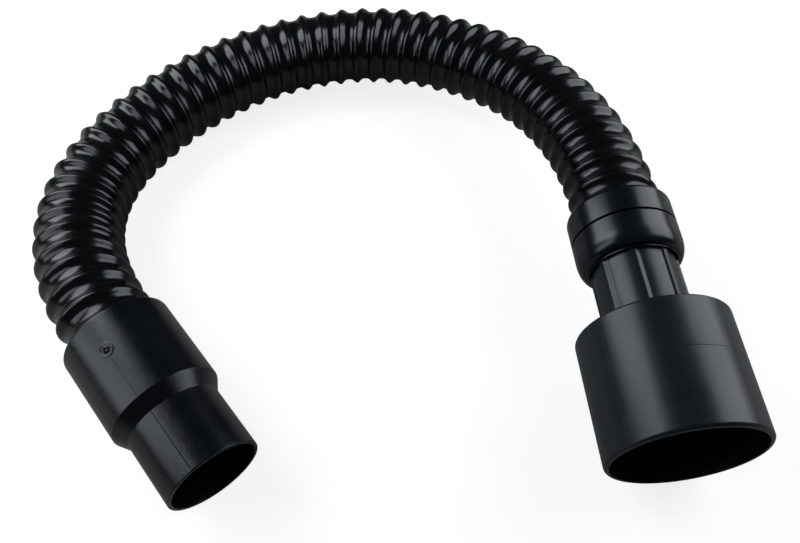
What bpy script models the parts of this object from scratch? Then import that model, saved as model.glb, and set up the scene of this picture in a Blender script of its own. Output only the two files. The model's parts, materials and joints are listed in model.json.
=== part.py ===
"""Short corrugated vacuum hose, lying in a bend.

A stepped tool cuff is fixed on one end. The other end has a two-part collar, which
holds the ribbed neck of a round port adapter. Sizes are in metres, and Z is up.
"""
import math

import bmesh
import bpy
import numpy as np
from mathutils import Matrix, Vector

# Fit between pieces that touch on the real hose
CLEARANCE = 0.0003

# Hose: a tube with one round ridge wound round it
HOSE_DIAMETER = 0.038
RIDGE_PITCH = 0.009865
RIDGE_HEIGHT = 0.0021
HOSE_WALL = 0.0012
FIRST_RIDGE = 0.0123
HOSE_SIDES = 16
BORE_RING_SPACING = 0.016
CUT_TOLERANCE = 0.000001

# One pitch of the ridge, as (share of the pitch, share of the ridge height)
RIDGE_PROFILE = ((-0.10, 1.0), (0.10, 1.0), (0.34, 0.0), (0.66, 0.0))

# Lie of the hose, seen from above: its middle line between the cuff and the collar
PLAN_ROUTE = (
    (-0.1136, -0.0478),
    (-0.1367, -0.0101),
    (-0.1419, 0.0347),
    (-0.1234, 0.0742),
    (-0.0927, 0.1051),
    (-0.0543, 0.1254),
    (-0.0111, 0.1298),
    (0.0301, 0.1159),
    (0.0640, 0.0884),
    (0.0853, 0.0502),
    (0.0936, 0.0072),
)
ROUTE_STEP = 0.0005
CUFF_HEADING = 39.0
CUFF_TILT = 4.0
ADAPTER_HEADING = 5.2
ADAPTER_TILT = 1.6
SETTLE_AFTER_CUFF = 0.100
RISE_BEFORE_COLLAR = 0.230

# Tool cuff: a narrow end that takes the tools, a cone and a wide end over the hose
CUFF_NARROW_DIAMETER = 0.038
CUFF_NARROW_LENGTH = 0.028
CUFF_CONE_LENGTH = 0.0057
CUFF_WIDE_LENGTH = 0.0388
CUFF_WALL = 0.0018
CUFF_WALL_OVER_HOSE = 0.0031
CUFF_LEAD_IN_DEPTH = 0.005
CUFF_LEAD_IN_STEP = 0.0003
CUFF_MOUTH_BEVEL = 0.0003
CUFF_EDGE_RADIUS = 0.0014
CUFF_SIDES = 36

# Collar: a ring over the hose and a cap over the neck, which meet at a fine groove
COLLAR_WALL_OVER_HOSE = 0.0028
RING_LENGTH = 0.0129
RING_SHOULDER = 0.0024
CAP_LENGTH = 0.0155
CAP_ROUND_LENGTH = 0.0058
CAP_FACE_WIDTH = 0.0006
CAP_LIP_WIDTH = 0.0005
CAP_LIP_HEIGHT = 0.0005
GROOVE_BEVEL = 0.0003
COLLAR_SIDES = 36

# Port adapter: a wide cup, a ribbed neck and a spigot inside the hose
CUP_DIAMETER = 0.0606
CUP_LENGTH = 0.0507
CUP_WALL = 0.002
CUP_FLOOR = 0.0024
CUP_MOUTH_BEVEL = 0.001
CUP_EDGE_RADIUS = 0.001
NECK_LENGTH = 0.029
NECK_STEP_OVER_SPIGOT = 0.002
RIB_COUNT = 8
RIB_WIDTH = 0.004
RIB_FLANK = 0.0012
RIB_HEIGHT = 0.0007
RIB_TURN = -15.0
FACETS_BETWEEN_RIBS = 4
SPIGOT_WALL = 0.0016
SPIGOT_SHORT_OF_RING = 0.001

# Facets of a quarter round, and the angle in degrees past which an edge looks sharp
ROUND_STEPS = 3
SHARP_ANGLE = 30.0

# Sizes that follow from those above
HOSE_RADIUS = HOSE_DIAMETER / 2
BORE_RADIUS = HOSE_RADIUS - RIDGE_HEIGHT - HOSE_WALL
SEAT_RADIUS = HOSE_RADIUS + CLEARANCE
SPIGOT_RADIUS = BORE_RADIUS * math.cos(math.pi / HOSE_SIDES) - CLEARANCE
CUFF_WIDE_RADIUS = SEAT_RADIUS + CUFF_WALL_OVER_HOSE
CUFF_STOP = CUFF_NARROW_LENGTH + CUFF_CONE_LENGTH
CUFF_LENGTH = CUFF_STOP + CUFF_WIDE_LENGTH
COLLAR_RADIUS = SEAT_RADIUS + COLLAR_WALL_OVER_HOSE
NECK_RADIUS = SPIGOT_RADIUS + NECK_STEP_OVER_SPIGOT
CAP_BORE_RADIUS = NECK_RADIUS + RIB_HEIGHT + CLEARANCE
CAP_START = CUP_LENGTH + NECK_LENGTH
CAP_END = CAP_START + CAP_LENGTH
RING_START = CAP_END + CLEARANCE
RING_END = RING_START + RING_LENGTH
HOSE_IN_CUFF = CUFF_WIDE_LENGTH - CLEARANCE
HOSE_IN_COLLAR = RING_LENGTH


def clear_scene():
    for old in list(bpy.data.objects):
        bpy.data.objects.remove(old, do_unlink=True)


def black_plastic(name, colour, roughness):
    material = bpy.data.materials.new(name)
    material.use_nodes = True
    shader = material.node_tree.nodes["Principled BSDF"]
    shader.inputs["Base Color"].default_value = (*colour, 1.0)
    shader.inputs["Roughness"].default_value = roughness
    shader.inputs["Metallic"].default_value = 0.0
    return material


def heading_vector(degrees):
    """Level direction, measured from -Y towards +X."""
    angle = math.radians(degrees)
    return np.array([math.sin(angle), -math.cos(angle)])


def spline_slopes(points, spans, first, last):
    """Slopes of the smooth curve that passes through the points, with its end slopes given."""
    count = len(points)
    system = np.eye(count)
    right = np.zeros((count, 2))
    right[0] = first
    right[-1] = last
    for i in range(1, count - 1):
        before, after = spans[i - 1], spans[i]
        system[i, i - 1] = 1 / before
        system[i, i] = 2 / before + 2 / after
        system[i, i + 1] = 1 / after
        right[i] = 3 * ((points[i] - points[i - 1]) / before**2 + (points[i + 1] - points[i]) / after**2)
    return np.linalg.solve(system, right)


def plan_line():
    """Closely spaced plan points along the free hose, and the length up to each."""
    points = np.array(PLAN_ROUTE)
    spans = np.linalg.norm(np.diff(points, axis=0), axis=1)
    slopes = spline_slopes(points, spans, -heading_vector(CUFF_HEADING), heading_vector(ADAPTER_HEADING))
    line = [points[:1]]
    for i, span in enumerate(spans):
        t = np.linspace(0, 1, int(span / ROUTE_STEP) + 1)[1:, None]
        line.append(
            (2 * t**3 - 3 * t**2 + 1) * points[i]
            + (t**3 - 2 * t**2 + t) * span * slopes[i]
            + (3 * t**2 - 2 * t**3) * points[i + 1]
            + (t**3 - t**2) * span * slopes[i + 1]
        )
    line = np.vstack(line)
    lengths = np.concatenate([[0], np.cumsum(np.linalg.norm(np.diff(line, axis=0), axis=1))])
    return line, lengths


def cuff_exit_height():
    """Height of the hose's middle line at the cuff, which lies on its wide end's front edge."""
    tilt = math.radians(CUFF_TILT)
    return CUFF_WIDE_RADIUS * math.cos(tilt) + CUFF_WIDE_LENGTH * math.sin(tilt)


def cup_mouth_height():
    """Height of the middle of the cup's mouth, which touches the floor behind its bevel."""
    tilt = math.radians(ADAPTER_TILT)
    return CUP_DIAMETER / 2 * math.cos(tilt) - CUP_MOUTH_BEVEL * math.sin(tilt)


def line_heights(lengths):
    """The hose comes down from the cuff, lies on the floor and rises to the collar."""
    down = np.clip(lengths / SETTLE_AFTER_CUFF, 0, 1)
    up = np.clip(1 - (lengths[-1] - lengths) / RISE_BEFORE_COLLAR, 0, 1)
    fall = (cuff_exit_height() - HOSE_RADIUS) * (1 - down**2 * (3 - 2 * down))
    fall += math.tan(math.radians(CUFF_TILT)) * SETTLE_AFTER_CUFF * down * (1 - down) ** 2
    collar_height = cup_mouth_height() + RING_END * math.sin(math.radians(ADAPTER_TILT))
    rise = (collar_height - HOSE_RADIUS) * up**2 * (3 - 2 * up)
    rise += math.tan(math.radians(ADAPTER_TILT)) * RISE_BEFORE_COLLAR * up**2 * (1 - up)
    return HOSE_RADIUS + fall + rise


def into_fitting(heading, tilt):
    """Direction into a fitting, from the hose towards the fitting's open mouth."""
    angle = math.radians(tilt)
    return np.append(heading_vector(heading) * math.cos(angle), -math.sin(angle))


def hose_line():
    """Middle line of the whole hose, with its straight ends inside the cuff and the collar."""
    plan, lengths = plan_line()
    line = np.column_stack([plan, line_heights(lengths)])
    return np.vstack([
        line[0] + into_fitting(CUFF_HEADING, CUFF_TILT) * (HOSE_IN_CUFF + RIDGE_PITCH),
        line,
        line[-1] + into_fitting(ADAPTER_HEADING, ADAPTER_TILT) * (HOSE_IN_COLLAR + RIDGE_PITCH),
    ])


def place_on_line(line, along, across):
    """Points at the lengths along the line, moved off it by the (outward, upward) offsets."""
    steps = np.linalg.norm(np.diff(line, axis=0), axis=1)
    marks = np.concatenate([[0], np.cumsum(steps)]) - HOSE_IN_CUFF - RIDGE_PITCH
    tangents = np.gradient(line, marks, axis=0)
    tangents /= np.linalg.norm(tangents, axis=1)[:, None]
    centre = np.column_stack([np.interp(along, marks, line[:, k]) for k in range(3)])
    forward = np.column_stack([np.interp(along, marks, tangents[:, k]) for k in range(3)])
    outward = np.cross([0.0, 0.0, 1.0], forward)
    outward /= np.linalg.norm(outward, axis=1)[:, None]
    upward = np.cross(forward, outward)
    upward /= np.linalg.norm(upward, axis=1)[:, None]
    return centre + across[:, :1] * outward + across[:, 1:] * upward


def free_length():
    line = hose_line()[1:-1]
    return float(np.linalg.norm(np.diff(line, axis=0), axis=1).sum())


def wind_ridge(bm, start, end):
    """Outside of the straight hose: one ridge wound clockwise, cut off square at both ends."""
    first_turn = math.floor((start - FIRST_RIDGE) / RIDGE_PITCH) - 1
    turns = math.ceil((end - start) / RIDGE_PITCH) + 3
    rows = {}
    for step in range((turns + 1) * HOSE_SIDES + 1):
        turn = step / HOSE_SIDES
        angle = -2 * math.pi * turn
        for column, (share, height) in enumerate(RIDGE_PROFILE):
            radius = HOSE_RADIUS - RIDGE_HEIGHT * (1 - height)
            along = FIRST_RIDGE + RIDGE_PITCH * (first_turn + turn + share)
            rows[step, column] = bm.verts.new((radius * math.cos(angle), radius * math.sin(angle), along))
    columns = len(RIDGE_PROFILE)
    for step in range(turns * HOSE_SIDES):
        for column in range(columns):
            wraps = column == columns - 1
            over = HOSE_SIDES if wraps else 0
            onward = 0 if wraps else column + 1
            bm.faces.new((
                rows[step, column],
                rows[step + 1, column],
                rows[step + 1 + over, onward],
                rows[step + over, onward],
            ))
    loose = [vert for vert in bm.verts if not vert.link_faces]
    bmesh.ops.delete(bm, geom=loose, context="VERTS")
    for height, side in ((start, -1), (end, 1)):
        bmesh.ops.bisect_plane(
            bm,
            geom=bm.verts[:] + bm.edges[:] + bm.faces[:],
            dist=CUT_TOLERANCE,
            plane_co=(0, 0, height),
            plane_no=(0, 0, side),
            clear_outer=True,
        )


def line_bore(bm, start, end):
    """Smooth inside of the straight hose."""
    count = max(2, round((end - start) / BORE_RING_SPACING))
    rings = []
    for along in np.linspace(start, end, count + 1):
        angles = [2 * math.pi * side / HOSE_SIDES for side in range(HOSE_SIDES)]
        rings.append([
            bm.verts.new((BORE_RADIUS * math.cos(a), BORE_RADIUS * math.sin(a), along)) for a in angles
        ])
    for low, high in zip(rings, rings[1:]):
        for i in range(HOSE_SIDES):
            j = (i + 1) % HOSE_SIDES
            bm.faces.new((low[i], high[i], high[j], low[j]))


def close_ends(bm, start, end):
    middle = (start + end) / 2
    for side in (-1, 1):
        rim = [
            edge for edge in bm.edges
            if edge.is_boundary and (edge.verts[0].co.z - middle) * side > 0
        ]
        bmesh.ops.triangle_fill(bm, use_beauty=True, edges=rim, normal=(0, 0, side))


def make_hose(material):
    start = -HOSE_IN_CUFF
    end = free_length() + HOSE_IN_COLLAR
    bm = bmesh.new()
    wind_ridge(bm, start, end)
    line_bore(bm, start, end)
    close_ends(bm, start, end)
    bmesh.ops.recalc_face_normals(bm, faces=bm.faces[:])
    verts = np.array([vert.co[:] for vert in bm.verts])
    bent = place_on_line(hose_line(), verts[:, 2], verts[:, :2])
    for vert, place in zip(bm.verts, bent):
        vert.co = Vector(place)
    return finish_piece("corrugated_hose", bm, material)


def even_angles(sides):
    return [2 * math.pi * side / sides for side in range(sides)]


def turn_profile(profile, angles, swell=None):
    """Turn a closed (along, radius) profile round Z; swell adds to the radius at an angle."""
    bm = bmesh.new()
    rings = []
    for angle in angles:
        ring = []
        for along, radius in profile:
            extra = swell(radius, angle) if swell else 0.0
            ring.append(bm.verts.new((
                (radius + extra) * math.cos(angle),
                (radius + extra) * math.sin(angle),
                along,
            )))
        rings.append(ring)
    count = len(profile)
    for ring, following in zip(rings, rings[1:] + rings[:1]):
        for i in range(count):
            j = (i + 1) % count
            bm.faces.new((ring[i], following[i], following[j], ring[j]))
    bmesh.ops.recalc_face_normals(bm, faces=bm.faces[:])
    return bm


def rounded(start, end, bulge_first):
    """Quarter round between two (along, radius) points; it leaves the first one radially if asked."""
    points = []
    for step in range(ROUND_STEPS + 1):
        turn = math.pi / 2 * step / ROUND_STEPS
        ease_in, ease_out = 1 - math.cos(turn), math.sin(turn)
        along_share, radius_share = (ease_in, ease_out) if bulge_first else (ease_out, ease_in)
        points.append((
            start[0] + (end[0] - start[0]) * along_share,
            start[1] + (end[1] - start[1]) * radius_share,
        ))
    return points


def finish_piece(name, bm, material):
    mesh = bpy.data.meshes.new(name)
    bm.to_mesh(mesh)
    bm.free()
    mesh.materials.append(material)
    mesh.shade_smooth()
    mesh.set_sharp_from_angle(angle=math.radians(SHARP_ANGLE))
    piece = bpy.data.objects.new(name, mesh)
    bpy.context.collection.objects.link(piece)
    return piece


def cuff_profile():
    """From the open mouth at 0 to the edge over the hose, and back along the inside."""
    narrow = CUFF_NARROW_DIAMETER / 2
    bore = narrow - CUFF_WALL
    lead_in = bore + CUFF_LEAD_IN_STEP
    edge = CUFF_EDGE_RADIUS
    return [
        (0, narrow - CUFF_MOUTH_BEVEL),
        (CUFF_MOUTH_BEVEL, narrow),
        (CUFF_NARROW_LENGTH, narrow),
        (CUFF_STOP, CUFF_WIDE_RADIUS),
        *rounded((CUFF_LENGTH - edge, CUFF_WIDE_RADIUS), (CUFF_LENGTH, CUFF_WIDE_RADIUS - edge), False),
        (CUFF_LENGTH, SEAT_RADIUS),
        (CUFF_STOP, SEAT_RADIUS),
        (CUFF_STOP, bore),
        (CUFF_LEAD_IN_DEPTH + CUFF_LEAD_IN_STEP, bore),
        (CUFF_LEAD_IN_DEPTH, lead_in),
        (0, lead_in),
    ]


def make_cuff(material):
    cuff = finish_piece("tool_cuff", turn_profile(cuff_profile(), even_angles(CUFF_SIDES)), material)
    into_cuff = into_fitting(CUFF_HEADING, CUFF_TILT)
    hose_exit = np.array([*PLAN_ROUTE[0], cuff_exit_height()])
    cuff.location = hose_exit + into_cuff * CUFF_LENGTH
    cuff.rotation_euler = aim(-into_cuff)
    return cuff


def aim(direction):
    """Rotation that turns +Z along the direction and keeps +X on the upper side."""
    along = Vector(direction).normalized()
    side = along.cross(Vector((0, 0, 1))).normalized()
    upper = side.cross(along)
    return Matrix((upper, side, along)).transposed().to_euler()


def ring_profile():
    radius = COLLAR_RADIUS
    shoulder = RING_SHOULDER
    return [
        (RING_START, radius - GROOVE_BEVEL),
        (RING_START + GROOVE_BEVEL, radius),
        *rounded((RING_END - shoulder, radius), (RING_END, radius - shoulder), False),
        (RING_END, SEAT_RADIUS),
        (RING_START, SEAT_RADIUS),
    ]


def cap_profile():
    radius = COLLAR_RADIUS
    lip = CAP_BORE_RADIUS + CAP_LIP_WIDTH
    face = CAP_START + CAP_LIP_HEIGHT
    return [
        (CAP_START, CAP_BORE_RADIUS),
        (CAP_START, lip),
        (face, lip),
        *rounded((face, lip + CAP_FACE_WIDTH), (face + CAP_ROUND_LENGTH, radius), True),
        (CAP_END - GROOVE_BEVEL, radius),
        (CAP_END, radius - GROOVE_BEVEL),
        (CAP_END, CAP_BORE_RADIUS),
    ]


def adapter_profile():
    """From the cup's mouth at 0 to the spigot inside the hose, and back along the bore."""
    outer = CUP_DIAMETER / 2
    inner = outer - CUP_WALL
    bore = SPIGOT_RADIUS - SPIGOT_WALL
    edge = CUP_EDGE_RADIUS
    spigot_end = RING_END - SPIGOT_SHORT_OF_RING
    return [
        (0, outer - CUP_MOUTH_BEVEL),
        (CUP_MOUTH_BEVEL, outer),
        *rounded((CUP_LENGTH - edge, outer), (CUP_LENGTH, outer - edge), False),
        (CUP_LENGTH, NECK_RADIUS),
        (CAP_END, NECK_RADIUS),
        (CAP_END, SPIGOT_RADIUS),
        (spigot_end, SPIGOT_RADIUS),
        (spigot_end, bore),
        (CUP_LENGTH - CUP_FLOOR, bore),
        (CUP_LENGTH - CUP_FLOOR, inner),
        (0, inner),
    ]


def rib_angles():
    """Directions of the adapter's facets: the corners of each rib, then the arc up to the next."""
    half = RIB_WIDTH / 2 / NECK_RADIUS
    flank = RIB_FLANK / NECK_RADIUS
    sector = 2 * math.pi / RIB_COUNT
    facet = (sector - 2 * half) / FACETS_BETWEEN_RIBS
    angles = []
    for rib in range(RIB_COUNT):
        middle = math.radians(RIB_TURN) + rib * sector
        angles += [middle - half, middle - half + flank, middle + half - flank, middle + half]
        angles += [middle + half + facet * step for step in range(1, FACETS_BETWEEN_RIBS)]
    return angles


def rib_swell(radius, angle):
    """The neck stands out by the rib height, up to half way down each rib's flanks."""
    if radius != NECK_RADIUS:
        return 0.0
    sector = 2 * math.pi / RIB_COUNT
    off_middle = (angle - math.radians(RIB_TURN) + sector / 2) % sector - sector / 2
    top_half = (RIB_WIDTH - RIB_FLANK) / 2 / NECK_RADIUS
    return RIB_HEIGHT if abs(off_middle) < top_half else 0.0


def place_on_adapter(piece):
    into_collar = into_fitting(ADAPTER_HEADING, ADAPTER_TILT)
    mouth_plan = np.array(PLAN_ROUTE[-1]) + into_collar[:2] * RING_END
    piece.location = (*mouth_plan, cup_mouth_height())
    piece.rotation_euler = aim(-into_collar)
    return piece


def make_collar(material):
    ring = turn_profile(ring_profile(), even_angles(COLLAR_SIDES))
    cap = turn_profile(cap_profile(), even_angles(COLLAR_SIDES))
    return [
        place_on_adapter(finish_piece("collar_ring", ring, material)),
        place_on_adapter(finish_piece("collar_cap", cap, material)),
    ]


def make_adapter(material):
    body = turn_profile(adapter_profile(), rib_angles(), rib_swell)
    return place_on_adapter(finish_piece("port_adapter", body, material))


def stand_on_origin(pieces):
    """Put the middle of the object's footprint on the origin, and its underside on Z = 0."""
    bpy.context.view_layer.update()
    corners = np.array([piece.matrix_world @ vert.co for piece in pieces for vert in piece.data.vertices])
    low, high = corners.min(axis=0), corners.max(axis=0)
    base = bpy.data.objects.new("base", None)
    base.location = (-(low[0] + high[0]) / 2, -(low[1] + high[1]) / 2, -low[2])
    bpy.context.collection.objects.link(base)
    for piece in pieces:
        piece.parent = base


def main():
    clear_scene()
    hose_black = black_plastic("hose_black", (0.012, 0.012, 0.013), 0.22)
    cuff_black = black_plastic("cuff_black", (0.017, 0.018, 0.019), 0.5)
    adapter_black = black_plastic("adapter_black", (0.018, 0.018, 0.02), 0.42)
    pieces = [make_hose(hose_black), make_cuff(cuff_black), make_adapter(adapter_black)]
    pieces += make_collar(adapter_black)
    stand_on_origin(pieces)


main()
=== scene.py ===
"""Looks of the short corrugated vacuum hose: fine meshes, black plastics, light and camera.

Sizes are in metres and angles in degrees. The hose, the cuff and the adapter lie where the
frame's two mounts say that their open mouths are.
"""
import json
import math

import bpy
import numpy as np
from mathutils import Matrix, Vector


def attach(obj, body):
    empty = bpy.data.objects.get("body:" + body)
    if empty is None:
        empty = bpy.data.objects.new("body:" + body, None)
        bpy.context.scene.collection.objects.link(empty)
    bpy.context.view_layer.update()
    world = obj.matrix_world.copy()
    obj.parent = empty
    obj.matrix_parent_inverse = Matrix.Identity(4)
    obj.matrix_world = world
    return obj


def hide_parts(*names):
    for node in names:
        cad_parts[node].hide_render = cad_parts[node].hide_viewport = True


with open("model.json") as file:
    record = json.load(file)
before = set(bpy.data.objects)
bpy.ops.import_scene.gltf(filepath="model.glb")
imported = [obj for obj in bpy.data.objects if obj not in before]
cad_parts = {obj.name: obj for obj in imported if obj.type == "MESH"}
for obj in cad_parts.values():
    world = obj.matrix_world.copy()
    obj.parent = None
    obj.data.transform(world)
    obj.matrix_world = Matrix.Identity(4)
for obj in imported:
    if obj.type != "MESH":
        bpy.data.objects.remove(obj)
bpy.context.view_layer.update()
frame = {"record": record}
mounts = {mount["name"]: mount for mount in frame["record"]["mounts"]}

CLEARANCE = 0.0003

# Hose
HOSE_DIAMETER = 0.038
RIDGE_PITCH = 0.009865
RIDGE_HEIGHT = 0.0021
HOSE_WALL = 0.0012
FIRST_RIDGE = 0.0123
RIDGE_SHARPNESS = 1.9
HOSE_SIDES = 88
ROWS_PER_PITCH = 17
BORE_ROWS = 100

# Lie of the hose from above: its middle line between the cuff and the collar
PLAN_ROUTE = (
    (-0.1136, -0.0478),
    (-0.1367, -0.0101),
    (-0.1419, 0.0347),
    (-0.1234, 0.0742),
    (-0.0927, 0.1051),
    (-0.0543, 0.1254),
    (-0.0111, 0.1298),
    (0.0301, 0.1159),
    (0.0640, 0.0884),
    (0.0853, 0.0502),
    (0.0936, 0.0072),
)
ROUTE_STEP = 0.0005
CUFF_HEADING = 39.0
CUFF_TILT = 4.0
ADAPTER_HEADING = 5.2
ADAPTER_TILT = 1.6
SETTLE_AFTER_CUFF = 0.100
RISE_BEFORE_COLLAR = 0.230
PATH_SPACING = 0.005

# Tool cuff, measured from its open mouth
CUFF_NARROW_RADIUS = 0.019
CUFF_NARROW_LENGTH = 0.028
CUFF_CONE_LENGTH = 0.0057
CUFF_WIDE_LENGTH = 0.0388
CUFF_WALL = 0.0018
CUFF_WALL_OVER_HOSE = 0.0031
CUFF_LEAD_IN_DEPTH = 0.005
CUFF_LEAD_IN_STEP = 0.0003
CUFF_RIM_MIDDLE = 0.01805
CUFF_EDGE_FILLET = 0.0016
CUFF_CONE_FILLET = 0.0009
CUFF_MOUTH_FILLET = 0.0005
CUFF_MOUTH_INNER_FILLET = 0.0002
PARTING_ANGLE = -17.0
PARTING_DEPTH = 0.0001
PARTING_WIDTH = 0.0004
GATE_FROM_MOUTH = 0.0569
GATE_RADIUS = 0.0031
GATE_LIFT = 0.00002
GATE_RINGS = 24
GATE_SIDES = 48
# The mark's skirt reaches into the cuff's wall, to this share of its radius
GATE_SINK = 0.97
# Each swell of the gate mark: (share of its radius, width as a share of it, height)
GATE_SWELLS = ((0.82, 0.10, 0.00012), (0.30, 0.12, 0.00045))

# Collar and adapter, measured from the cup's open mouth
COLLAR_WALL_OVER_HOSE = 0.0028
RING_LENGTH = 0.0129
RING_SHOULDER = 0.0024
CAP_LENGTH = 0.0155
CAP_ROUND_LENGTH = 0.0080
CAP_LIP_WIDTH = 0.0005
CAP_LIP_HEIGHT = 0.0007
CAP_LIP_FILLET = 0.0002
CAP_LIP_GROOVE_WIDTH = 0.0003
GROOVE_EDGE_FILLET = 0.0002
GROOVE_SET_BACK = 0.0003
CUP_RADIUS = 0.0303
CUP_LENGTH = 0.0507
CUP_WALL = 0.002
CUP_FLOOR = 0.0024
CUP_RIM_MIDDLE = 0.0288
CUP_EDGE_FILLET = 0.001
CUP_MOUTH_FILLET = 0.0015
CUP_MOUTH_INNER_FILLET = 0.0003
CUP_FLOOR_FILLET = 0.001
NECK_LENGTH = 0.029
NECK_STEP_OVER_SPIGOT = 0.002
RIB_COUNT = 8
RIB_WIDTH = 0.004
RIB_STEEP_FLANK = 0.0007
RIB_EASY_FLANK = 0.0015
RIB_HEIGHT = 0.0007
RIB_TURN = -15.0
SPIGOT_WALL = 0.0016
SPIGOT_SHORT_OF_RING = 0.001
SPIGOT_FILLET = 0.0004
MOULD_LINE_DEPTH = 0.00012
LENGTHWISE_LINE_SHARE = 0.35
MOULD_LINE_WIDTH = 0.0003
# Each faint line round the cup: (distance from the mouth, first angle, last angle)
CUP_ARC_LINES = ((0.0315, -112.0, -66.0), (0.0297, -5.0, 27.0))
CUP_LENGTHWISE_LINE = -66.0

ROUND_STEPS = 6
CAP_ROUND_STEPS = 16
LATHE_SIDES = 160
SHARP_ANGLE = 40.0
FLAT_WALL_WEIGHT = 80

# Sizes that follow from those above
HOSE_RADIUS = HOSE_DIAMETER / 2
BORE_RADIUS = HOSE_RADIUS - RIDGE_HEIGHT - HOSE_WALL
SEAT_RADIUS = HOSE_RADIUS + CLEARANCE
SPIGOT_RADIUS = BORE_RADIUS - 2 * CLEARANCE
CUFF_WIDE_RADIUS = SEAT_RADIUS + CUFF_WALL_OVER_HOSE
CUFF_STOP = CUFF_NARROW_LENGTH + CUFF_CONE_LENGTH
CUFF_LENGTH = CUFF_STOP + CUFF_WIDE_LENGTH
COLLAR_RADIUS = SEAT_RADIUS + COLLAR_WALL_OVER_HOSE
NECK_RADIUS = SPIGOT_RADIUS + NECK_STEP_OVER_SPIGOT
CAP_BORE_RADIUS = NECK_RADIUS + RIB_HEIGHT + CLEARANCE
CAP_START = CUP_LENGTH + NECK_LENGTH
CAP_END = CAP_START + CAP_LENGTH
RING_START = CAP_END + CLEARANCE
RING_END = RING_START + RING_LENGTH
HOSE_IN_CUFF = CUFF_WIDE_LENGTH - CLEARANCE
HOSE_IN_COLLAR = RING_LENGTH

# Camera, at the photo's viewing angle
CAMERA_LENS = 35.79
CAMERA_ELEVATION = 56.06
CAMERA_DISTANCE = 0.3663
CAMERA_AIM = (0.014209, -0.016797)

# Light and surface
SHEEN_TINT = (0.86, 0.94, 1.0)
NOISE_LOW = 0.3
NOISE_HIGH = 0.7
CLOUD_SCALE = 60
CLOUD_DETAIL = 3
CLOUD_DEPTH = 0.0004
CLOUD_STRENGTH = 0.15
GRAIN_DETAIL = 2
SKY_GREY = 0.05
LAMP_TARGET = (0, 0, 0.02)
FLOOR_GREY = 0.45
FLOOR_GLOW = 0.82


# Places of the two fittings, from the mounts on their mouths

def upright_frame(centre, along):
    """Matrix with its origin at the centre, +Z along the fitting and +X on its upper side."""
    side = along.cross(Vector((0, 0, 1))).normalized()
    upper = side.cross(along)
    turn = Matrix((upper, side, along)).transposed().to_4x4()
    return Matrix.Translation(centre) @ turn


def fitting_frame(mount_name, rim_middle):
    """The mount lies on the top of the mouth's rim, and its axis points out of the mouth."""
    mount = mounts[mount_name]
    along = -Vector(mount["axis"]).normalized()
    upper = upright_frame(Vector(), along).col[0].to_3d()
    return upright_frame(Vector(mount["pos_m"]) - upper * rim_middle, along)


# Middle line of the hose

def heading_vector(degrees):
    """Level direction, measured from -Y towards +X."""
    angle = math.radians(degrees)
    return np.array([math.sin(angle), -math.cos(angle)])


def into_fitting(heading, tilt):
    """Direction from the hose towards a fitting's mouth, which points down by the tilt."""
    angle = math.radians(tilt)
    return np.append(heading_vector(heading) * math.cos(angle), -math.sin(angle))


def spline_slopes(points, spans, first, last):
    """Slopes of the smooth curve that passes through the points, with its end slopes given."""
    count = len(points)
    system = np.eye(count)
    right = np.zeros((count, 2))
    right[0] = first
    right[-1] = last
    for i in range(1, count - 1):
        before, after = spans[i - 1], spans[i]
        system[i, i - 1] = 1 / before
        system[i, i] = 2 / before + 2 / after
        system[i, i + 1] = 1 / after
        right[i] = 3 * ((points[i] - points[i - 1]) / before**2 + (points[i + 1] - points[i]) / after**2)
    return np.linalg.solve(system, right)


def plan_line(shift):
    """Closely spaced plan points along the free hose, and the length up to each."""
    points = np.array(PLAN_ROUTE) + shift
    spans = np.linalg.norm(np.diff(points, axis=0), axis=1)
    slopes = spline_slopes(points, spans, -heading_vector(CUFF_HEADING), heading_vector(ADAPTER_HEADING))
    line = [points[:1]]
    for i, span in enumerate(spans):
        t = np.linspace(0, 1, int(span / ROUTE_STEP) + 1)[1:, None]
        line.append(
            (2 * t**3 - 3 * t**2 + 1) * points[i]
            + (t**3 - 2 * t**2 + t) * span * slopes[i]
            + (3 * t**2 - 2 * t**3) * points[i + 1]
            + (t**3 - t**2) * span * slopes[i + 1]
        )
    line = np.vstack(line)
    lengths = np.concatenate([[0], np.cumsum(np.linalg.norm(np.diff(line, axis=0), axis=1))])
    return line, lengths


def line_heights(lengths, cuff_height, collar_height):
    """The hose comes down from the cuff, lies on the floor and rises to the collar."""
    down = np.clip(lengths / SETTLE_AFTER_CUFF, 0, 1)
    up = np.clip(1 - (lengths[-1] - lengths) / RISE_BEFORE_COLLAR, 0, 1)
    fall = (cuff_height - HOSE_RADIUS) * (1 - down**2 * (3 - 2 * down))
    fall += math.tan(math.radians(CUFF_TILT)) * SETTLE_AFTER_CUFF * down * (1 - down) ** 2
    rise = (collar_height - HOSE_RADIUS) * up**2 * (3 - 2 * up)
    rise += math.tan(math.radians(ADAPTER_TILT)) * RISE_BEFORE_COLLAR * up**2 * (1 - up)
    return HOSE_RADIUS + fall + rise


def hose_line(cuff_place, adapter_place):
    """Middle line of the whole hose, and the length from the cuff's edge to each point of it."""
    cuff_edge = cuff_place @ Vector((0, 0, CUFF_LENGTH))
    collar_edge = adapter_place @ Vector((0, 0, RING_END))
    plan, lengths = plan_line(np.array(collar_edge)[:2] - np.array(PLAN_ROUTE[-1]))
    line = np.column_stack([plan, line_heights(lengths, cuff_edge.z, collar_edge.z)])
    line = np.vstack([
        line[0] + into_fitting(CUFF_HEADING, CUFF_TILT) * (HOSE_IN_CUFF + RIDGE_PITCH),
        line,
        line[-1] + into_fitting(ADAPTER_HEADING, ADAPTER_TILT) * (HOSE_IN_COLLAR + RIDGE_PITCH),
    ])
    steps = np.linalg.norm(np.diff(line, axis=0), axis=1)
    return line, np.concatenate([[0], np.cumsum(steps)]) - HOSE_IN_CUFF - RIDGE_PITCH


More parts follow.
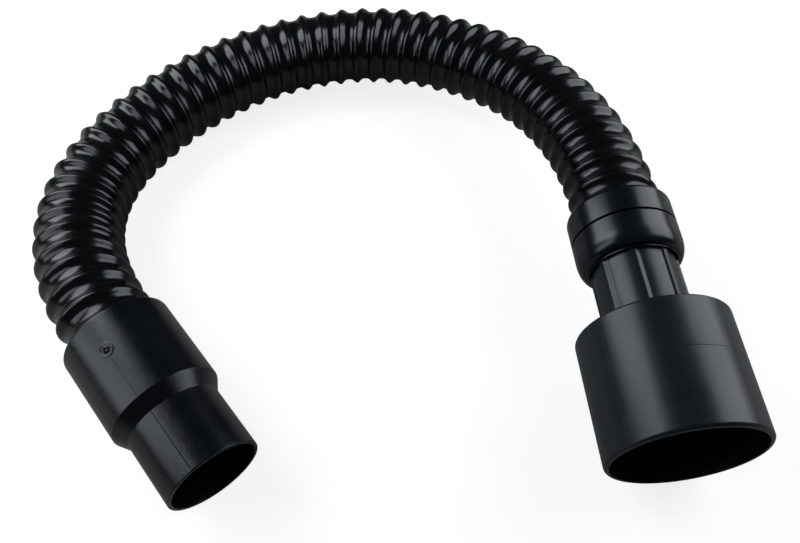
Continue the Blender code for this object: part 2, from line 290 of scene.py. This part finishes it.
def place_on_line(line, marks, along, across):
    """Points at the lengths along the line, moved off it by the (outward, upward) offsets."""
    tangents = np.gradient(line, marks, axis=0)
    tangents /= np.linalg.norm(tangents, axis=1)[:, None]
    centre = np.column_stack([np.interp(along, marks, line[:, k]) for k in range(3)])
    forward = np.column_stack([np.interp(along, marks, tangents[:, k]) for k in range(3)])
    outward = np.cross([0.0, 0.0, 1.0], forward)
    outward /= np.linalg.norm(outward, axis=1)[:, None]
    upward = np.cross(forward, outward)
    upward /= np.linalg.norm(upward, axis=1)[:, None]
    return centre + across[:, :1] * outward + across[:, 1:] * upward


# Meshes

def add_piece(name, verts, faces, material, place=None):
    mesh = bpy.data.meshes.new(name)
    mesh.from_pydata([tuple(vert) for vert in verts], [], faces)
    mesh.validate()
    if place:
        mesh.transform(place)
    mesh.materials.append(material)
    mesh.shade_smooth()
    mesh.set_sharp_from_angle(angle=math.radians(SHARP_ANGLE))
    piece = bpy.data.objects.new(name, mesh)
    bpy.context.collection.objects.link(piece)
    return piece


def even_weights(piece):
    """Shade flat walls evenly right up to their rounded edges."""
    normals = piece.modifiers.new("even_normals", "WEIGHTED_NORMAL")
    normals.keep_sharp = True
    normals.weight = FLAT_WALL_WEIGHT


def grid_faces(rows, columns, start=0, flip=False):
    """Quads between the rows of a grid whose columns close on themselves."""
    faces = []
    for i in range(rows - 1):
        for j in range(columns):
            k = (j + 1) % columns
            quad = [start + i * columns + j, start + i * columns + k]
            quad += [start + (i + 1) * columns + k, start + (i + 1) * columns + j]
            faces.append(quad[::-1] if flip else quad)
    return faces


def ring_grid(along, radii_at):
    """Straight tube as (radius, angle, along) rows, with its radius given by a function."""
    angles = np.arange(HOSE_SIDES) * 2 * math.pi / HOSE_SIDES
    lengths, turns = np.meshgrid(along, angles, indexing="ij")
    radii = radii_at(lengths, turns)
    across = np.stack([radii * np.cos(turns), radii * np.sin(turns)], axis=-1)
    return lengths.ravel(), across.reshape(-1, 2)


def ridge_radius(lengths, turns):
    """Radius of the outside: one ridge wound left-handed, narrower than the valley beside it."""
    share = (lengths - FIRST_RIDGE) / RIDGE_PITCH + turns / (2 * math.pi)
    crest = np.cos(math.pi * share) ** 2
    return HOSE_RADIUS - RIDGE_HEIGHT * (1 - crest**RIDGE_SHARPNESS)


def bore_radius(lengths, turns):
    return np.full_like(lengths, BORE_RADIUS)


def make_hose(material, cuff_place, adapter_place):
    line, marks = hose_line(cuff_place, adapter_place)
    start, end = marks[0] + RIDGE_PITCH, marks[-1] - RIDGE_PITCH
    row_count = round((end - start) / RIDGE_PITCH * ROWS_PER_PITCH)
    outside = place_on_line(line, marks, *ring_grid(np.linspace(start, end, row_count), ridge_radius))
    bore = place_on_line(line, marks, *ring_grid(np.linspace(start, end, BORE_ROWS), bore_radius))
    faces = grid_faces(row_count, HOSE_SIDES)
    faces += grid_faces(BORE_ROWS, HOSE_SIDES, len(outside), True)
    last_outside = (row_count - 1) * HOSE_SIDES
    last_bore = len(outside) + (BORE_ROWS - 1) * HOSE_SIDES
    for j in range(HOSE_SIDES):
        k = (j + 1) % HOSE_SIDES
        faces.append([j, len(outside) + j, len(outside) + k, k])
        faces.append([last_outside + j, last_outside + k, last_bore + k, last_bore + j])
    hose = add_piece("hose", np.vstack([outside, bore]), faces, material)
    path_marks = np.arange(end, start, -PATH_SPACING)
    path = place_on_line(line, marks, path_marks, np.zeros((len(path_marks), 2)))
    collar_edge = end - HOSE_IN_COLLAR
    leaves_at = place_on_line(line, marks, np.array([collar_edge]), np.zeros((1, 2)))[0]
    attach(hose, "root")
    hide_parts("corrugated_hose")
    return hose


def round_corners(corners):
    """Closed (along, radius) profile from corners, each rounded by its own fillet radius."""
    points = []
    for i, (along, radius, fillet) in enumerate(corners):
        here = np.array([along, radius])
        if not fillet:
            points.append(here)
            continue
        before = np.array(corners[i - 1][:2]) - here
        after = np.array(corners[(i + 1) % len(corners)][:2]) - here
        before /= np.linalg.norm(before)
        after /= np.linalg.norm(after)
        half = math.acos(float(before @ after)) / 2
        middle = (before + after) / np.linalg.norm(before + after)
        centre = here + middle * fillet / math.sin(half)
        first = here + before * fillet / math.tan(half) - centre
        last = here + after * fillet / math.tan(half) - centre
        swept = math.pi - 2 * half
        for step in range(ROUND_STEPS + 1):
            share = step / ROUND_STEPS
            points.append(centre + (
                math.sin((1 - share) * swept) * first + math.sin(share * swept) * last
            ) / math.sin(swept))
    return points


def lathe(name, profile, material, place, swell=None, extra_angles=()):
    """Turn a closed (along, radius) profile round Z; swell moves a point of it in or out."""
    even = np.arange(LATHE_SIDES) * 360 / LATHE_SIDES - 180
    angles = np.unique(np.round(np.concatenate([even, extra_angles]), 4))
    verts = []
    for angle in angles:
        turn = math.radians(angle)
        for along, radius in profile:
            if swell:
                radius = radius + swell(along, radius, angle)
            verts.append((radius * math.cos(turn), radius * math.sin(turn), along))
    columns = len(profile)
    rows = len(angles)
    faces = grid_faces(rows, columns)
    for j in range(columns):
        k = (j + 1) % columns
        faces.append([(rows - 1) * columns + j, (rows - 1) * columns + k, k, j])
    piece = add_piece(name, verts, faces, material, place)
    even_weights(piece)
    return piece


def angle_gap(angle, middle):
    return abs((angle - middle + 180) % 360 - 180)


def line_angles(middle, width, radius):
    """Facet edges close enough round an angle to hold a fine line of that width."""
    reach = math.degrees(width / radius)
    return [middle + reach * share for share in (-1, -0.5, 0, 0.5, 1)]


def cuff_swell(along, radius, angle):
    """The two fine parting lines along the outside of the narrow end and of the wide end."""
    outside = radius > CUFF_NARROW_RADIUS - CLEARANCE and (
        along < CUFF_NARROW_LENGTH + CUFF_CONE_FILLET or radius > CUFF_WIDE_RADIUS - CLEARANCE
    )
    if not outside:
        return 0.0
    gap = min(angle_gap(angle, PARTING_ANGLE), angle_gap(angle, PARTING_ANGLE + 180))
    share = math.radians(gap) * radius / PARTING_WIDTH
    return -PARTING_DEPTH * max(0.0, 1 - 2 * share)


def make_cuff(material, place):
    bore = CUFF_NARROW_RADIUS - CUFF_WALL
    profile = round_corners([
        (0, CUFF_NARROW_RADIUS, CUFF_MOUTH_FILLET),
        (CUFF_NARROW_LENGTH, CUFF_NARROW_RADIUS, CUFF_CONE_FILLET),
        (CUFF_STOP, CUFF_WIDE_RADIUS, CUFF_CONE_FILLET),
        (CUFF_LENGTH, CUFF_WIDE_RADIUS, CUFF_EDGE_FILLET),
        (CUFF_LENGTH, SEAT_RADIUS, 0),
        (CUFF_STOP, SEAT_RADIUS, 0),
        (CUFF_STOP, bore, 0),
        (CUFF_LEAD_IN_DEPTH, bore, 0),
        (0, bore + CUFF_LEAD_IN_STEP, CUFF_MOUTH_INNER_FILLET),
    ])
    fine = line_angles(PARTING_ANGLE, PARTING_WIDTH, CUFF_WIDE_RADIUS)
    fine += line_angles(PARTING_ANGLE + 180, PARTING_WIDTH, CUFF_WIDE_RADIUS)
    cuff = lathe("cuff", profile, material, place, cuff_swell, fine)
    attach(cuff, "root")
    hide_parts("tool_cuff")
    return cuff


def gate_height(share):
    """Height of the gate mark above the cuff: a low lip, a flat and a torn stub with a pit."""
    height = GATE_LIFT * (1 - share**8)
    for middle, width, rise in GATE_SWELLS:
        height += rise * math.exp(-(((share - middle) / width) ** 2))
    return height


def make_gate_mark(material, place):
    verts = []
    for ring in range(GATE_RINGS + 1):
        share = ring / GATE_RINGS
        for side in range(GATE_SIDES):
            turn = 2 * math.pi * side / GATE_SIDES
            along = GATE_FROM_MOUTH + GATE_RADIUS * share * math.cos(turn)
            angle = math.radians(PARTING_ANGLE) + GATE_RADIUS * share * math.sin(turn) / CUFF_WIDE_RADIUS
            radius = CUFF_WIDE_RADIUS + gate_height(share)
            verts.append((radius * math.cos(angle), radius * math.sin(angle), along))
    for x, y, along in verts[-GATE_SIDES:]:
        verts.append((x * GATE_SINK, y * GATE_SINK, along))
    faces = grid_faces(GATE_RINGS + 2, GATE_SIDES)
    faces.append(list(range(len(verts) - GATE_SIDES, len(verts)))[::-1])
    mark = add_piece("cuff_gate_mark", verts, faces, material, place)
    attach(mark, "root")
    return mark


def rib_angles():
    """Facet edges at the foot and at the top of both flanks of every rib."""
    half = RIB_WIDTH / 2
    angles = []
    for rib in range(RIB_COUNT):
        middle = RIB_TURN + rib * 360 / RIB_COUNT
        for across in (-half, RIB_STEEP_FLANK - half, half - RIB_EASY_FLANK, half):
            angles.append(middle + math.degrees(across / NECK_RADIUS))
    return [(angle + 180) % 360 - 180 for angle in angles]


def rib_swell(radius, angle):
    """The neck's outside rises by the rib's height over each rib, more steeply on one flank."""
    if radius != NECK_RADIUS:
        return 0.0
    across = math.radians(math.remainder(angle - RIB_TURN, 360 / RIB_COUNT)) * NECK_RADIUS
    steep = (across + RIB_WIDTH / 2) / RIB_STEEP_FLANK
    easy = (RIB_WIDTH / 2 - across) / RIB_EASY_FLANK
    return RIB_HEIGHT * min(1.0, max(0.0, min(steep, easy)))


def cup_line_dip(along, radius, angle):
    """Depth of the faint mould lines on the cup's outside."""
    if radius < CUP_RADIUS - CLEARANCE / 10:
        return 0.0
    share = 1.0
    for distance, first, last in CUP_ARC_LINES:
        if first <= angle <= last:
            share = min(share, 2 * abs(along - distance) / MOULD_LINE_WIDTH)
    if along <= CUP_ARC_LINES[0][0]:
        gap = math.radians(angle_gap(angle, CUP_LENGTHWISE_LINE)) * radius
        share = min(share, 1 - LENGTHWISE_LINE_SHARE * max(0.0, 1 - 2 * gap / MOULD_LINE_WIDTH))
    return -MOULD_LINE_DEPTH * (1 - share)


def adapter_swell(along, radius, angle):
    return rib_swell(radius, angle) + cup_line_dip(along, radius, angle)


def make_adapter(material, place):
    inner = CUP_RADIUS - CUP_WALL
    bore = SPIGOT_RADIUS - SPIGOT_WALL
    spigot_end = RING_END - SPIGOT_SHORT_OF_RING
    outside_lines = []
    for distance in sorted(line[0] for line in CUP_ARC_LINES):
        for share in (-0.5, 0, 0.5):
            outside_lines.append((distance + MOULD_LINE_WIDTH * share, CUP_RADIUS, 0))
    profile = round_corners([
        (0, CUP_RADIUS, CUP_MOUTH_FILLET),
        *outside_lines,
        (CUP_LENGTH, CUP_RADIUS, CUP_EDGE_FILLET),
        (CUP_LENGTH, NECK_RADIUS, 0),
        (CAP_END, NECK_RADIUS, 0),
        (CAP_END, SPIGOT_RADIUS, 0),
        (spigot_end, SPIGOT_RADIUS, SPIGOT_FILLET),
        (spigot_end, bore, SPIGOT_FILLET),
        (CUP_LENGTH - CUP_FLOOR, bore, SPIGOT_FILLET),
        (CUP_LENGTH - CUP_FLOOR, inner, CUP_FLOOR_FILLET),
        (0, inner, CUP_MOUTH_INNER_FILLET),
    ])
    fine = rib_angles() + line_angles(CUP_LENGTHWISE_LINE, MOULD_LINE_WIDTH, CUP_RADIUS)
    adapter = lathe("adapter", profile, material, place, adapter_swell, fine)
    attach(adapter, "root")
    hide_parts("port_adapter")
    return adapter


def quarter_round(start, end):
    """Profile points of a quarter ellipse, from a face across the axis to a side along it."""
    points = []
    for step in range(CAP_ROUND_STEPS + 1):
        turn = math.pi / 2 * step / CAP_ROUND_STEPS
        along = start[0] + (end[0] - start[0]) * (1 - math.cos(turn))
        points.append((along, start[1] + (end[1] - start[1]) * math.sin(turn), 0))
    return points


def make_collar(material, place):
    ring_start = RING_START + GROOVE_SET_BACK
    cap_end = CAP_END - GROOVE_SET_BACK
    ring = lathe("collar_ring_fine", round_corners([
        (ring_start, COLLAR_RADIUS, GROOVE_EDGE_FILLET),
        (RING_END, COLLAR_RADIUS, RING_SHOULDER),
        (RING_END, SEAT_RADIUS, 0),
        (ring_start, SEAT_RADIUS, 0),
    ]), material, place)
    lip = CAP_BORE_RADIUS + CAP_LIP_WIDTH
    face = CAP_START + CAP_LIP_HEIGHT
    cap = lathe("collar_cap_fine", round_corners([
        (CAP_START, CAP_BORE_RADIUS, CAP_LIP_FILLET),
        (CAP_START, lip, CAP_LIP_FILLET),
        (face, lip, 0),
        *quarter_round((face, lip + CAP_LIP_GROOVE_WIDTH), (CAP_START + CAP_ROUND_LENGTH, COLLAR_RADIUS)),
        (cap_end, COLLAR_RADIUS, GROOVE_EDGE_FILLET),
        (cap_end, CAP_BORE_RADIUS, 0),
    ]), material, place)
    for piece, node in ((ring, "collar_ring"), (cap, "collar_cap")):
        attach(piece, "root")
        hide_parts(node)


# Materials

def new_material(name):
    material = bpy.data.materials.new(name)
    material.use_nodes = True
    nodes = material.node_tree.nodes
    return material, nodes, material.node_tree.links, nodes["Principled BSDF"]


def add_noise(nodes, links, scale, detail, position):
    noise = nodes.new("ShaderNodeTexNoise")
    noise.inputs["Scale"].default_value = scale
    noise.inputs["Detail"].default_value = detail
    links.new(position, noise.inputs["Vector"])
    return noise.outputs["Fac"]


def map_range(nodes, links, value, low, high):
    """The usual range of the noise becomes a value from low to high."""
    node = nodes.new("ShaderNodeMapRange")
    node.inputs["From Min"].default_value = NOISE_LOW
    node.inputs["From Max"].default_value = NOISE_HIGH
    node.inputs["To Min"].default_value = low
    node.inputs["To Max"].default_value = high
    links.new(value, node.inputs["Value"])
    return node.outputs["Result"]


def add_bump(nodes, links, height, distance, strength, below=None):
    bump = nodes.new("ShaderNodeBump")
    bump.inputs["Distance"].default_value = distance
    bump.inputs["Strength"].default_value = strength
    links.new(height, bump.inputs["Height"])
    if below:
        links.new(below, bump.inputs["Normal"])
    return bump.outputs["Normal"]


def tinted(nodes, links, value, dark, light):
    """Colour from dark to light over the usual range of the noise."""
    ramp = nodes.new("ShaderNodeValToRGB")
    ramp.color_ramp.elements[0].position = NOISE_LOW
    ramp.color_ramp.elements[0].color = (*dark, 1)
    ramp.color_ramp.elements[1].position = NOISE_HIGH
    ramp.color_ramp.elements[1].color = (*light, 1)
    links.new(value, ramp.inputs["Fac"])
    return ramp.outputs["Color"]


def black_plastic(name, dark, light, smooth, rough, grain, grain_scale):
    """Black plastic with uneven colour and gloss, and a fine moulded grain."""
    material, nodes, links, shader = new_material(name)
    position = nodes.new("ShaderNodeTexCoord").outputs["Object"]
    cloud = add_noise(nodes, links, CLOUD_SCALE, CLOUD_DETAIL, position)
    speck = add_noise(nodes, links, grain_scale, GRAIN_DETAIL, position)
    links.new(tinted(nodes, links, cloud, dark, light), shader.inputs["Base Color"])
    links.new(map_range(nodes, links, cloud, smooth, rough), shader.inputs["Roughness"])
    broad = add_bump(nodes, links, cloud, CLOUD_DEPTH, CLOUD_STRENGTH)
    links.new(add_bump(nodes, links, speck, grain, 1.0, broad), shader.inputs["Normal"])
    shader.inputs["Specular Tint"].default_value = (*SHEEN_TINT, 1)
    return material


def hose_plastic():
    return black_plastic(
        "glossy_black_hose", dark=(0.0008, 0.0018, 0.0025), light=(0.002, 0.003, 0.0038),
        smooth=0.16, rough=0.24, grain=0.00001, grain_scale=900,
    )


def cuff_plastic():
    return black_plastic(
        "satin_black_cuff", dark=(0.0015, 0.0035, 0.005), light=(0.003, 0.005, 0.0065),
        smooth=0.18, rough=0.24, grain=0.00009, grain_scale=1800,
    )


def adapter_plastic():
    return black_plastic(
        "satin_black_adapter", dark=(0.0065, 0.0115, 0.0165), light=(0.0095, 0.0145, 0.0205),
        smooth=0.29, rough=0.34, grain=0.000006, grain_scale=2500,
    )


def collar_plastic():
    return black_plastic(
        "satin_black_collar", dark=(0.0005, 0.0035, 0.006), light=(0.0025, 0.0055, 0.009),
        smooth=0.22, rough=0.27, grain=0.000006, grain_scale=2500,
    )


# Floor, light and camera

def make_floor():
    bpy.ops.mesh.primitive_plane_add(size=6)
    floor = bpy.context.object
    floor.name = "floor"
    material, nodes, links, shader = new_material("pale_floor")
    shader.inputs["Base Color"].default_value = (FLOOR_GREY, FLOOR_GREY, FLOOR_GREY, 1)
    shader.inputs["Roughness"].default_value = 1.0
    shader.inputs["Specular IOR Level"].default_value = 0.0
    shader.inputs["Emission Color"].default_value = (1, 1, 1, 1)
    glow = nodes.new("ShaderNodeMath")
    glow.operation = "MULTIPLY"
    glow.inputs[1].default_value = FLOOR_GLOW
    links.new(nodes.new("ShaderNodeLightPath").outputs["Is Camera Ray"], glow.inputs[0])
    links.new(glow.outputs["Value"], shader.inputs["Emission Strength"])
    floor.data.materials.append(material)


def make_world():
    world = bpy.data.worlds.new("studio")
    bpy.context.scene.world = world
    world.use_nodes = True
    nodes, links = world.node_tree.nodes, world.node_tree.links
    sky = nodes["Background"]
    mix = nodes.new("ShaderNodeMix")
    mix.data_type = "RGBA"
    mix.inputs["A"].default_value = (SKY_GREY, SKY_GREY, SKY_GREY, 1)
    mix.inputs["B"].default_value = (1, 1, 1, 1)
    links.new(nodes.new("ShaderNodeLightPath").outputs["Is Camera Ray"], mix.inputs["Factor"])
    links.new(mix.outputs["Result"], sky.inputs["Color"])


def add_softbox(name, place, width, height, radiance):
    light = bpy.data.lights.new(name, "AREA")
    light.shape = "RECTANGLE"
    light.size = width
    light.size_y = height
    light.energy = radiance * math.pi * width * height
    lamp = bpy.data.objects.new(name, light)
    lamp.location = place
    lamp.rotation_euler = (Vector(LAMP_TARGET) - Vector(place)).to_track_quat("-Z", "Y").to_euler()
    bpy.context.collection.objects.link(lamp)


def make_lights():
    add_softbox("left_softbox", place=(-0.43, 0.18, 0.36), width=0.27, height=0.50, radiance=3.7)
    add_softbox("front_left_softbox", place=(-0.43, -0.14, 0.30), width=0.20, height=0.44, radiance=2.0)
    add_softbox("right_softbox", place=(0.57, 0.21, 0.37), width=0.54, height=0.52, radiance=2.8)


def make_camera():
    data = bpy.data.cameras.new("camera")
    data.lens = CAMERA_LENS
    camera = bpy.data.objects.new("camera", data)
    angle = math.radians(CAMERA_ELEVATION)
    back = Vector((0, -math.cos(angle), math.sin(angle)))
    camera.location = Vector((CAMERA_AIM[0], CAMERA_AIM[1], 0)) + back * CAMERA_DISTANCE
    camera.rotation_euler = (math.pi / 2 - angle, 0, 0)
    bpy.context.collection.objects.link(camera)
    bpy.context.scene.camera = camera


def main():
    cuff_place = fitting_frame("cuff_mouth", CUFF_RIM_MIDDLE)
    adapter_place = fitting_frame("cup_mouth", CUP_RIM_MIDDLE)
    make_camera()
    make_hose(hose_plastic(), cuff_place, adapter_place)
    cuff_black = cuff_plastic()
    make_cuff(cuff_black, cuff_place)
    make_gate_mark(cuff_black, cuff_place)
    make_adapter(adapter_plastic(), adapter_place)
    make_collar(collar_plastic(), adapter_place)
    make_floor()
    make_world()
    make_lights()
    bpy.context.scene.view_settings.view_transform = "Standard"


main()
